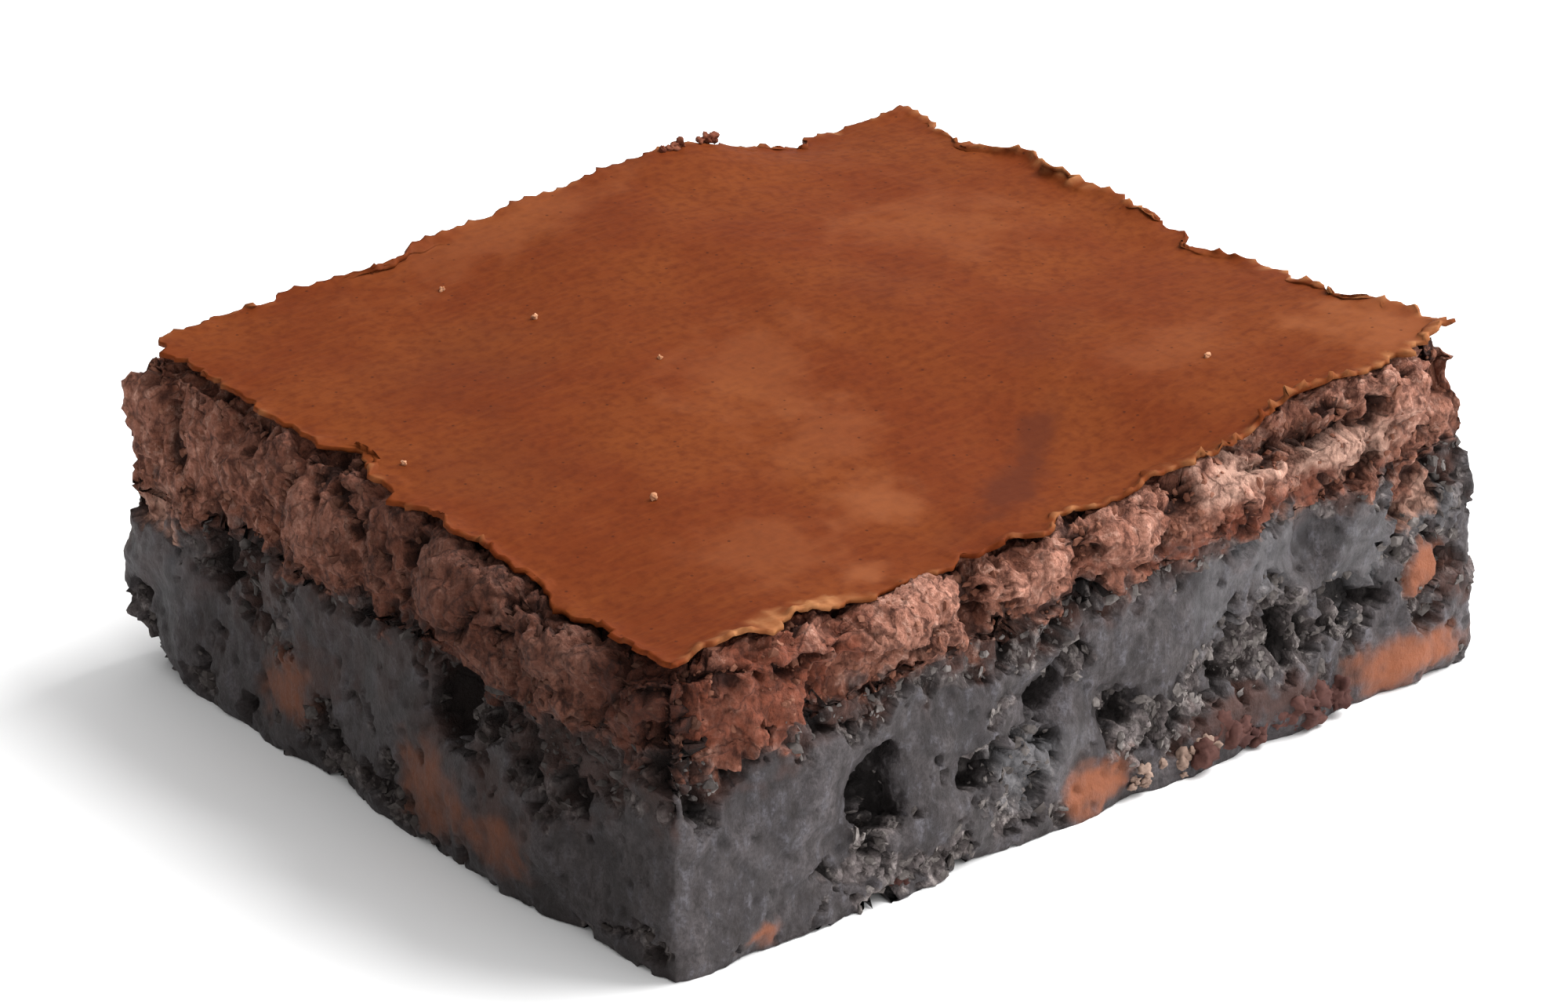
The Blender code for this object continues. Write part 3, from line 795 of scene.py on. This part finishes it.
def make_cake_body(first_sheet, torn_sheet):
    """The cake layer under the skin: its torn sides, a round shoulder, and a top that runs on under it."""
    body = copy_of_node("cake_layer", "cake_body")
    top = top_faces(body)
    select_faces(body, lambda face: face.index in top)
    bpy.ops.mesh.delete(type="FACE")
    for _ in range(2):
        bpy.ops.mesh.select_mode(type="VERT")
        bpy.ops.mesh.select_all(action="DESELECT")
        bpy.ops.mesh.select_non_manifold(extend=False)
        bpy.ops.mesh.delete(type="VERT")
    bpy.ops.mesh.select_all(action="DESELECT")
    bpy.ops.mesh.select_non_manifold(extend=False)
    close_mesh()
    shoulder = {vertex.index for vertex in body.data.vertices if vertex.select}
    bpy.ops.object.mode_set(mode="EDIT")
    for step in SHOULDER_STEPS:
        bpy.ops.mesh.extrude_region_move(TRANSFORM_OT_translate={"value": (0, 0, 0.1 * MM)})
        bpy.ops.transform.resize(value=(step, step, 1), center_override=(0, 0, 0))
    bpy.ops.mesh.edge_face_add()
    close_mesh()
    for vertex in body.data.vertices:
        height = first_sheet.height(vertex.co)[0]
        if vertex.index in shoulder:
            vertex.co.z = height - SHOULDER_DROP * MM
        elif vertex.co.z > height - 1.3 * MM:
            vertex.co.z = height - TOP_DROP * MM
    select_faces(body, lambda face: face.area < (CAKE_FACE_SIZE * MM) ** 2 and face.normal.z > -0.85)
    bpy.ops.mesh.subdivide(number_cuts=SIDE_CUTS)
    close_mesh()
    smooth_finely(body, lambda v: v.co.z > (layer_height(*(v.co.xy / MM)) + 1.2) * MM, 6)
    for vertex in body.data.vertices:
        if vertex.co.z < (layer_height(*(vertex.co.xy / MM)) + BORDER_BAND) * MM:
            vertex.co.z -= LAYER_OVERLAP * MM

    def taken(place, way):
        if way.z < -0.8:
            return 0.0
        from_rim = first_sheet.rim_distance(place * MM) if first_sheet.height(place * MM)[1] else 0.0
        return ease(1.2 - from_rim / SHOULDER_REACH)

    tear(body, taken)
    for vertex in body.data.vertices:
        height, covered = torn_sheet.height(vertex.co)
        limit = height - (SKIN_THICKNESS + SKIN_GAP) * MM if covered else height + BARE_RISE * MM
        if vertex.co.z > limit:
            vertex.co.z = limit
    return body


def unit_ball(subdivisions):
    """The points and the faces of a ball of radius 1, from which the loose bits are shaped."""
    bpy.ops.mesh.primitive_ico_sphere_add(subdivisions=subdivisions, radius=1.0)
    ball = bpy.context.object
    points = np.array([v.co for v in ball.data.vertices])
    faces = np.array([p.vertices for p in ball.data.polygons])
    bpy.data.objects.remove(ball)
    return points, faces


def one_mesh(name, shapes, faces):
    """Makes one piece of many shapes that have the same faces. Each shape is its points, in metres."""
    indices = np.concatenate([faces + len(shape) * index for index, shape in enumerate(shapes)])
    mesh = bpy.data.meshes.new(name)
    mesh.from_pydata(np.concatenate(shapes).tolist(), [], indices.tolist())
    piece = bpy.data.objects.new(name, mesh)
    bpy.context.scene.collection.objects.link(piece)
    return piece


def share_of(piece, name):
    """A function that gives a face's share of an attribute."""
    values = piece.data.attributes[name].data
    return lambda face: values[face.vertices[0]].value


def turned(spin, lean_x, lean_y):
    """The rotation matrix of a spin about Z and two leans."""
    c, s = math.cos(spin), math.sin(spin)
    about_z = np.array(((c, -s, 0), (s, c, 0), (0, 0, 1)))
    c, s = math.cos(lean_x), math.sin(lean_x)
    about_x = np.array(((1, 0, 0), (0, c, -s), (0, s, c)))
    c, s = math.cos(lean_y), math.sin(lean_y)
    about_y = np.array(((c, 0, s), (0, 1, 0), (-s, 0, c)))
    return about_x @ about_y @ about_z


def scattered(name, host, wanted, seed, count, sizes, flatness, sink):
    """Many small rough bits of one kind as one mesh, set on the faces of a host.

    wanted gives each face's weight, sizes the least and greatest radius, flatness the bits' height and sink
    how deep they sit in, both as a share of the radius.
    """
    points, faces = unit_ball(1)
    draw = np.random.default_rng(seed)
    # Extruding leaves the faces in no fixed order, so they are sorted by place before any is drawn.
    centres = np.array([face.center for face in host.data.polygons]) / MM
    polygons = [host.data.polygons[int(index)] for index in np.lexsort(np.round(centres, 2).T)]
    weights = np.array([face.area * wanted(face) for face in polygons])
    chosen = draw.choice(len(polygons), size=count, p=weights / weights.sum())
    shapes, shades = [], []
    # Each bit takes the shade painted on the face under it.
    host_shade = share_of(host, "shaded_left_face")
    for index in chosen:
        face = polygons[int(index)]
        shades += [host_shade(face)] * len(points)
        radius = sizes[0] + (sizes[1] - sizes[0]) * draw.random() ** 2.2
        shape = points * draw.uniform(0.6, 1.3, (len(points), 1))
        shape = shape * (draw.uniform(0.7, 1.3), draw.uniform(0.5, 1.0), flatness)
        turn = Vector(face.normal).to_track_quat("Z", "Y").to_matrix()
        spin = draw.uniform(0, 2 * math.pi)
        lean = draw.uniform(-0.7, 0.7, 2)
        rotation = np.array(turn) @ turned(spin, *lean)
        shape = shape @ rotation.T * radius * MM
        middle = np.array(face.center + face.normal * radius * (flatness - 2 * sink) * 0.5 * MM)
        shape = shape + middle
        shape[:, 2] = np.maximum(shape[:, 2], 0)
        shapes.append(shape)
    piece = one_mesh(name, shapes, faces)
    set_attribute(piece, "shaded_left_face", shades)
    return piece


def lin(code):
    """The linear colour of an sRGB hex code."""
    parts = [int(code[i : i + 2], 16) / 255 for i in (0, 2, 4)]
    return (*[c / 12.92 if c <= 0.04045 else ((c + 0.055) / 1.055) ** 2.4 for c in parts], 1.0)


def add_node(tree, kind, settings=None, inputs=None):
    """Adds a node with its settings, and its inputs as values or as links from other nodes' outputs."""
    node = tree.nodes.new(kind)
    for name, value in (settings or {}).items():
        setattr(node, name, value)
    for socket, value in (inputs or {}).items():
        if isinstance(value, bpy.types.NodeSocket):
            tree.links.new(value, node.inputs[socket])
        else:
            node.inputs[socket].default_value = value
    return node


def new_material(name, roughness, specular):
    """A new material: the material, its tree, its shader and its Object coordinates."""
    material = bpy.data.materials.new(name)
    material.use_nodes = True
    tree = material.node_tree
    shader = tree.nodes["Principled BSDF"]
    shader.inputs["Roughness"].default_value = roughness
    shader.inputs["Specular IOR Level"].default_value = specular
    coordinates = add_node(tree, "ShaderNodeTexCoord").outputs["Object"]
    return material, tree, shader, coordinates


def layered(tree, colour, layers):
    """Lays colours over each other: each layer is a factor's output and an sRGB code."""
    for factor, code in layers:
        blend = add_node(tree, "ShaderNodeMix", {"data_type": "RGBA"}, {0: factor, 6: colour, 7: lin(code)})
        colour = blend.outputs[2]
    return colour


def papery_baked_crust():
    """Baked sugar and egg film: a thin, matt, faintly satin skin, red-brown, mottled where it is thicker,
    with fine bubbles and pepper-dark specks, and pale where it is torn along its rim."""
    material, tree, shader, place = new_material("papery_baked_crust", 0.6, 0.03)
    tone = add_node(tree, "ShaderNodeAttribute", {"attribute_name": "tone"}).outputs["Fac"]
    rim = add_node(tree, "ShaderNodeAttribute", {"attribute_name": "rim"}).outputs["Fac"]
    cloud = add_node(tree, "ShaderNodeTexNoise", {}, {"Vector": place, "Scale": 1 / (9 * MM), "Detail": 3.0})
    grain = add_node(
        tree, "ShaderNodeTexNoise", {}, {"Vector": place, "Scale": 1 / (0.7 * MM), "Detail": 4.0}
    )
    fibre_place = add_node(
        tree,
        "ShaderNodeMapping",
        {},
        {"Vector": place, "Rotation": (0, 0, math.radians(40)), "Scale": (0.16, 1.0, 1.0)},
    )
    fibres = add_node(
        tree,
        "ShaderNodeTexNoise",
        {},
        {"Vector": fibre_place.outputs[0], "Scale": 1 / (0.5 * MM), "Detail": 3.0},
    )
    specks = add_node(
        tree, "ShaderNodeTexVoronoi", {"feature": "F1"}, {"Vector": place, "Scale": 1 / (1.3 * MM)}
    )
    # The tone attribute darkens the skin along its streak, which is painted shade of a shallow fold, and
    # pales it in patches.
    ranges = (
        (cloud.outputs[0], 0.40, 0.66, 0.0, 0.60),
        (grain.outputs[0], 0.42, 0.70, 0.0, 0.60),
        (fibres.outputs[0], 0.50, 0.72, 0.0, 0.30),
        (specks.outputs["Distance"], 0.055, 0.11, 0.6, 0.0),
        (tone, 0.5, 1.0, 0.0, 0.75),
        (tone, 0.5, 0.0, 0.0, 0.75),
    )
    masks = []
    for value, low, high, start, end in ranges:
        mapped = add_node(
            tree,
            "ShaderNodeMapRange",
            {},
            {"Value": value, "From Min": low, "From Max": high, "To Min": start, "To Max": end},
        )
        masks.append(mapped.outputs[0])
    rim_break = add_node(tree, "ShaderNodeMath", {"operation": "MULTIPLY"}, {0: rim, 1: grain.outputs[0]})
    colour = layered(
        tree,
        lin("602a11"),
        (
            (masks[0], "6e3818"),
            (masks[1], "4f200d"),
            (masks[2], "703818"),
            (masks[4], "4c2315"),
            (masks[5], "8d5434"),
            (masks[3], "2e150e"),
            (rim_break.outputs[0], "b07a50"),
        ),
    )
    tree.links.new(colour, shader.inputs["Base Color"])
    height = add_node(
        tree, "ShaderNodeMath", {"operation": "ADD"}, {0: grain.outputs[0], 1: fibres.outputs[0]}
    )
    bump = add_node(
        tree, "ShaderNodeBump", {}, {"Height": height.outputs[0], "Distance": 0.06 * MM, "Strength": 0.6}
    )
    tree.links.new(bump.outputs[0], shader.inputs["Normal"])
    return material


def knife_cut_crumb():
    """Dense fudge under drier cake, cut and torn by a knife. Where the blade smeared it the fudge is a satin
    blue grey, and where it tore it is matt and dark. The cake is a dry pinkish brown. Shade is painted dark
    into the creases, gaps and pits and onto the left face, and highlight onto what stands out."""
    material, tree, shader, place = new_material("knife_cut_crumb", 0.6, 0.25)
    share = {
        name: add_node(tree, "ShaderNodeAttribute", {"attribute_name": name}).outputs["Fac"]
        for name in ("cake", "crumbly", "caramel", "ruddy", "stain", "pale", "hollow", "highlight_on_raised", "shaded_left_face")
    }
    weights = (
        ("stain", 0.75),
        ("caramel", 0.90),
        ("ruddy", 0.80),
        ("pale", 0.50),
        ("shaded_left_face", 0.35),
        ("hollow", 0.90),
    )
    stained, syrupy, ruddy, creamy, shaded, hollow = [
        add_node(tree, "ShaderNodeMath", {"operation": "MULTIPLY"}, {0: share[name], 1: weight}).outputs[0]
        for name, weight in weights
    ]
    upright = add_node(tree, "ShaderNodeMapping", {}, {"Vector": place, "Scale": (1.0, 1.0, 0.55)}).outputs[0]
    noises = (
        (upright, 2.8, 5.0, 0.6),
        (upright, 1.0, 6.0, 0.68),
        (place, 0.26, 4.0, 0.65),
    )
    cloud, crumb, grain = [
        add_node(
            tree,
            "ShaderNodeTexNoise",
            {},
            {"Vector": vector, "Scale": 1 / (size * MM), "Detail": detail, "Roughness": roughness},
        ).outputs[0]
        for vector, size, detail, roughness in noises
    ]
    stray = add_node(
        tree, "ShaderNodeTexNoise", {}, {"Vector": place, "Scale": 1 / (1.2 * MM), "Detail": 2.0}
    )
    strayed = add_node(
        tree,
        "ShaderNodeVectorMath",
        {"operation": "MULTIPLY_ADD"},
        {0: stray.outputs["Color"], 1: (1.6 * MM, 1.6 * MM, 1.6 * MM), 2: place},
    )
    cracks = [
        add_node(
            tree,
            "ShaderNodeTexVoronoi",
            {"feature": "DISTANCE_TO_EDGE"},
            {"Vector": strayed.outputs[0], "Scale": 1 / (size * MM)},
        ).outputs["Distance"]
        for size in (2.6, 1.1)
    ]
    ranges = (
        (cracks[0], 0.01, 0.07, 0.50, 0.0),
        (cracks[1], 0.01, 0.10, 0.20, 0.0),
        (cloud, 0.40, 0.64, 0.0, 0.90),
        (crumb, 0.48, 0.36, 0.0, 0.90),
        (crumb, 0.53, 0.64, 0.0, 0.70),
        (grain, 0.42, 0.62, 0.0, 0.70),
    )
    cracked, shade_in_crazing, clouded, shade_in_sunken, highlight_on_proud, grained = [
        add_node(
            tree,
            "ShaderNodeMapRange",
            {},
            {"Value": value, "From Min": low, "From Max": high, "To Min": start, "To Max": end},
        ).outputs[0]
        for value, low, high, start, end in ranges
    ]
    # Painted highlight where the crumb noise stands out, and painted shade where it sinks and in the cracks,
    # following the relief and the bump.
    smeared = layered(
        tree,
        lin("474141"),
        (
            (share["highlight_on_raised"], "5b5456"),
            (clouded, "343032"),
            (highlight_on_proud, "625f65"),
            (shade_in_sunken, "2b2524"),
            (grained, "302b2c"),
        ),
    )
    crumbled = layered(
        tree,
        lin("332c2b"),
        ((share["highlight_on_raised"], "7e7473"), (highlight_on_proud, "b2a8a4"), (shade_in_sunken, "261f1d"), (shade_in_crazing, "2a2322")),
    )
    fudge = add_node(
        tree, "ShaderNodeMix", {"data_type": "RGBA"}, {0: share["crumbly"], 6: smeared, 7: crumbled}
    ).outputs[2]
    paler = add_node(
        tree, "ShaderNodeMath", {"operation": "MULTIPLY_ADD"}, {0: share["crumbly"], 1: 0.4, 2: 0.25}
    )
    paler = add_node(
        tree, "ShaderNodeMath", {"operation": "MULTIPLY"}, {0: share["pale"], 1: paler.outputs[0]}
    ).outputs[0]
    fudge = layered(tree, fudge, ((paler, "7c7b7e"), (stained, "4a2d24"), (syrupy, "8c5032")))
    cake = layered(
        tree,
        lin("744432"),
        (
            (share["highlight_on_raised"], "bf8975"),
            (clouded, "966250"),
            (highlight_on_proud, "d2a592"),
            (grained, "80503e"),
            (creamy, "dab5a2"),
            # Painted shade on the left face turns the cake a redder orange.
            (shaded, "a5502f"),
            (ruddy, "733621"),
            (shade_in_sunken, "4a261a"),
            (cracked, "45241a"),
            (shade_in_crazing, "6a3d2d"),
        ),
    )
    # Painted shade: gaps, pits, pores and the feet of steps are mixed towards near black.
    both, dark = [
        add_node(
            tree, "ShaderNodeMix", {"data_type": "RGBA"}, {0: share["cake"], 6: below, 7: above}
        ).outputs[2]
        for below, above in ((fudge, cake), (lin("100c0b"), lin("240f0a")))
    ]
    colour = add_node(tree, "ShaderNodeMix", {"data_type": "RGBA"}, {0: hollow, 6: both, 7: dark}).outputs[2]

    # Painted shade on the left face: its crumb is darkened, a little more so on the cake, and less where the
    # crumb is pale.
    shade_strength = add_node(
        tree, "ShaderNodeMath", {"operation": "MULTIPLY_ADD"}, {0: share["cake"], 1: 0.08, 2: 0.64}
    )
    less_on_pale = add_node(
        tree, "ShaderNodeMath", {"operation": "MULTIPLY_ADD"}, {0: share["pale"], 1: -0.35, 2: 1.0}
    )
    shaded_left_face = share["shaded_left_face"]
    for factor in (shade_strength, less_on_pale):
        shaded_left_face = add_node(
            tree, "ShaderNodeMath", {"operation": "MULTIPLY"}, {0: shaded_left_face, 1: factor.outputs[0]}
        ).outputs[0]
    colour = layered(tree, colour, ((shaded_left_face, "110704"),))
    tree.links.new(colour, shader.inputs["Base Color"])

    # Torn crumb is matt and its bumps are deeper than those of smeared fudge.
    rough = add_node(
        tree, "ShaderNodeMath", {"operation": "MAXIMUM"}, {0: share["cake"], 1: share["crumbly"]}
    )
    roughness = add_node(
        tree, "ShaderNodeMath", {"operation": "MULTIPLY_ADD"}, {0: rough.outputs[0], 1: 0.35, 2: 0.52}
    )
    tree.links.new(roughness.outputs[0], shader.inputs["Roughness"])
    height = add_node(tree, "ShaderNodeMath", {"operation": "MULTIPLY_ADD"}, {0: grain, 1: 0.3, 2: crumb})
    torn = add_node(tree, "ShaderNodeMath", {"operation": "MULTIPLY"}, {0: cracked, 1: rough.outputs[0]})
    height = add_node(
        tree,
        "ShaderNodeMath",
        {"operation": "MULTIPLY_ADD"},
        {0: torn.outputs[0], 1: -0.35, 2: height.outputs[0]},
    )
    rougher = add_node(
        tree, "ShaderNodeMath", {"operation": "MULTIPLY_ADD"}, {0: rough.outputs[0], 1: 0.6, 2: 0.8}
    )
    height = add_node(
        tree, "ShaderNodeMath", {"operation": "MULTIPLY"}, {0: height.outputs[0], 1: rougher.outputs[0]}
    )
    bump = add_node(
        tree, "ShaderNodeBump", {}, {"Height": height.outputs[0], "Distance": 0.45 * MM, "Strength": 0.9}
    )
    tree.links.new(bump.outputs[0], shader.inputs["Normal"])
    return material


def dry_crumb(name, dark_code, pale_code):
    """Loose crumb: dry, matt, and paler on its broken faces than the crumb it fell from."""
    material, tree, shader, place = new_material(name, 0.8, 0.15)
    patch = add_node(
        tree, "ShaderNodeTexVoronoi", {"feature": "F1"}, {"Vector": place, "Scale": 1 / (1.4 * MM)}
    )
    grain = add_node(
        tree, "ShaderNodeTexNoise", {}, {"Vector": place, "Scale": 1 / (0.3 * MM), "Detail": 3.0}
    )
    # Crumbs on the left face are darkened with the same painted shade.
    shaded_left_face = add_node(tree, "ShaderNodeAttribute", {"attribute_name": "shaded_left_face"}).outputs["Fac"]
    shaded_left_face = add_node(tree, "ShaderNodeMath", {"operation": "MULTIPLY"}, {0: shaded_left_face, 1: 0.8}).outputs[0]
    colour = layered(
        tree,
        lin(dark_code),
        ((patch.outputs["Color"], pale_code), (grain.outputs[0], dark_code), (shaded_left_face, "110704")),
    )
    tree.links.new(colour, shader.inputs["Base Color"])
    bump = add_node(
        tree, "ShaderNodeBump", {}, {"Height": grain.outputs[0], "Distance": 0.08 * MM, "Strength": 0.6}
    )
    tree.links.new(bump.outputs[0], shader.inputs["Normal"])
    return material


def painted_floor():
    """A smooth matt white sweep."""
    material, _, shader, _ = new_material("painted_floor", 0.9, 0.0)
    shader.inputs["Base Color"].default_value = lin("f4f4f4")
    return material


def make_stage():
    bpy.ops.mesh.primitive_plane_add(size=FLOOR_SIZE * MM)
    floor = bpy.context.object
    floor.name = "floor"
    floor.data.materials.append(painted_floor())


def make_camera():
    azimuth, elevation = math.radians(CAMERA_AZIMUTH), math.radians(CAMERA_ELEVATION)
    back = Vector((
        math.sin(azimuth) * math.cos(elevation),
        -math.cos(azimuth) * math.cos(elevation),
        math.sin(elevation),
    ))
    data = bpy.data.cameras.new("camera")
    data.lens = LENS
    data.sensor_width = SENSOR
    data.clip_start = CLIP_NEAR
    data.clip_end = CLIP_FAR
    camera = bpy.data.objects.new("camera", data)
    camera.location = (CAMERA_AIM + back * CAMERA_DISTANCE) * MM
    camera.rotation_euler = back.to_track_quat("Z", "Y").to_euler()
    bpy.context.scene.collection.objects.link(camera)
    bpy.context.scene.camera = camera


def make_lights():
    data = bpy.data.lights.new("key", "AREA")
    data.shape = "DISK"
    data.size = KEY_SIZE * MM
    data.energy = KEY_POWER
    key = bpy.data.objects.new("key", data)
    level = math.cos(math.radians(KEY_ELEVATION))
    towards = Vector((*[part * level for part in KEY_DIRECTION], math.sin(math.radians(KEY_ELEVATION))))
    key.location = towards * KEY_DISTANCE * MM
    key.rotation_euler = towards.to_track_quat("Z", "Y").to_euler()
    bpy.context.scene.collection.objects.link(key)
    world = bpy.data.worlds.new("white_sky")
    world.use_nodes = True
    tree = world.node_tree
    direction = add_node(tree, "ShaderNodeTexCoord").outputs["Generated"]
    towards_key = add_node(
        tree, "ShaderNodeVectorMath", {"operation": "DOT_PRODUCT"}, {0: direction, 1: (*SKY_BRIGHT_SIDE, 0.0)}
    )
    strength = add_node(
        tree,
        "ShaderNodeMapRange",
        {},
        {
            "Value": towards_key.outputs["Value"],
            "From Min": -SKY_SPREAD,
            "From Max": SKY_SPREAD,
            "To Min": SKY_DIM,
            "To Max": SKY_BRIGHT,
        },
    )
    background = tree.nodes["Background"]
    background.inputs["Color"].default_value = (1, 1, 1, 1)
    tree.links.new(strength.outputs[0], background.inputs["Strength"])
    bpy.context.scene.world = world
    bpy.context.scene.view_settings.view_transform = "Standard"


def pebbles(name, seed, spots):
    """Lumps of crumb as one mesh. Each spot is the middle of a lump's underside and its radius."""
    points, faces = unit_ball(3)
    draw = np.random.default_rng(seed)
    shapes = []
    for index, (x, y, z, radius) in enumerate(spots):
        shift = Vector((7 * index, seed, 0))
        knobs = []
        for point in points:
            place = Vector(point) + shift
            knobs.append(0.9 + 0.40 * noise.noise(1.3 * place) + 0.75 * flakes_of(place, *KNOBS)[0])
        shape = points * np.array(knobs)[:, None] * radius * draw.uniform(0.75, 1.2, 3)
        middle = Vector((x, y, z - shape[:, 2].min())) + CENTRING
        shapes.append((shape + np.array(middle)) * MM)
    return one_mesh(name, shapes, faces)


def along_foot(seed, count, sizes, stretch, height):
    """Spots for pebbles along a stretch of the near cut face's foot, up to a height."""
    draw = np.random.default_rng(seed)
    spots = []
    for _ in range(count):
        radius = draw.uniform(*sizes)
        y = NEAR_FOOT + draw.uniform(0.1, 0.8) * radius
        spots.append((draw.uniform(*stretch), y, draw.uniform(0, height), radius))
    return spots


def on_skin(sheet, seed, places, sizes):
    """Spots for crumbs that lie on the baked skin at given places."""
    draw = np.random.default_rng(seed)
    spots = []
    for x, y in places:
        radius = draw.uniform(*sizes)
        height = sheet.height((Vector((x, y, 30)) + CENTRING) * MM)[0] / MM
        spots.append((x, y, height - 0.5 * radius, radius))
    return spots


def weight_of_flakes(fudge):
    """Torn flakes lie on the fudge's sides where it is crumbly, most in its creases and none deep in pits."""
    crumbly, in_cake, hollow = share_of(fudge, "crumbly"), share_of(fudge, "cake"), share_of(fudge, "hollow")

    def weight(face):
        if hollow(face) >= 0.9 or abs(face.normal.z) >= 0.9:
            return 0.0
        return max(crumbly(face) - 0.3, 0) * (1 - in_cake(face)) * (0.15 + hollow(face))

    return weight


def weight_of_crumbs(cake, sheet):
    """Crumbs lie on the cake's sides, most in its creases."""
    in_cake, hollow = share_of(cake, "cake"), share_of(cake, "hollow")

    def weight(face):
        if sheet.rim_distance(face.center) >= 2.5 or face.normal.z <= -0.7:
            return 0.0
        return in_cake(face) * (0.2 + hollow(face))

    return weight


def main():
    fudge = make_fudge_body()
    skin = skin_sheet()
    first_sheet = Sheet(skin)
    skin = make_skin(skin, first_sheet)
    torn_sheet = Sheet(skin)
    cake = make_cake_body(first_sheet, torn_sheet)
    flakes = scattered("fudge_flakes", fudge, weight_of_flakes(fudge), **FUDGE_FLAKES)
    crumbs = scattered("cake_crumbs", cake, weight_of_crumbs(cake, first_sheet), **CAKE_CRUMBS)
    lumps = []
    for name, groups in PEBBLES.items():
        spots = [spot for group in groups for spot in along_foot(*group)]
        lumps.append(pebbles(name, groups[0][0], spots))
    for name, (seed, sizes, places) in CRUMBS_ON_SKIN.items():
        lumps.append(pebbles(name, seed, on_skin(torn_sheet, seed, places, sizes)))
    ruddy_pebbles, pale_pebbles, top_crumbs, rim_crumbs = lumps
    cut_crumb = knife_cut_crumb()
    finishes = (
        (fudge, cut_crumb, FUDGE_SLOT, "fudge_base"),
        (cake, cut_crumb, TOP_SLOT, "cake_layer"),
        (skin, papery_baked_crust(), TOP_SLOT, "cake_layer"),
        (flakes, dry_crumb("dry_fudge_flake", "3a3432", "a39b97"), FUDGE_SLOT, None),
        (crumbs, dry_crumb("dry_cake_crumb", "613a2c", "a5735e"), TOP_SLOT, None),
        (ruddy_pebbles, dry_crumb("syrup_stained_crumb", "3d2522", "6f4c44"), FUDGE_SLOT, None),
        (pale_pebbles, dry_crumb("toasted_crumb", "6b564c", "c6ab9a"), FUDGE_SLOT, None),
        (top_crumbs, dry_crumb("sugary_crumb", "a06a48", "d8a888"), TOP_SLOT, None),
        (rim_crumbs, dry_crumb("baked_rim_crumb", "5e2f20", "8f5840"), TOP_SLOT, None),
    )
    for piece, material, slot, node in finishes:
        piece.data.materials.append(material)
        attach(piece, BODY)
        if node:
            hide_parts(node)
    for piece in (fudge, cake, skin, *lumps):
        piece.data.shade_smooth()
    make_stage()
    make_camera()
    make_lights()


main()
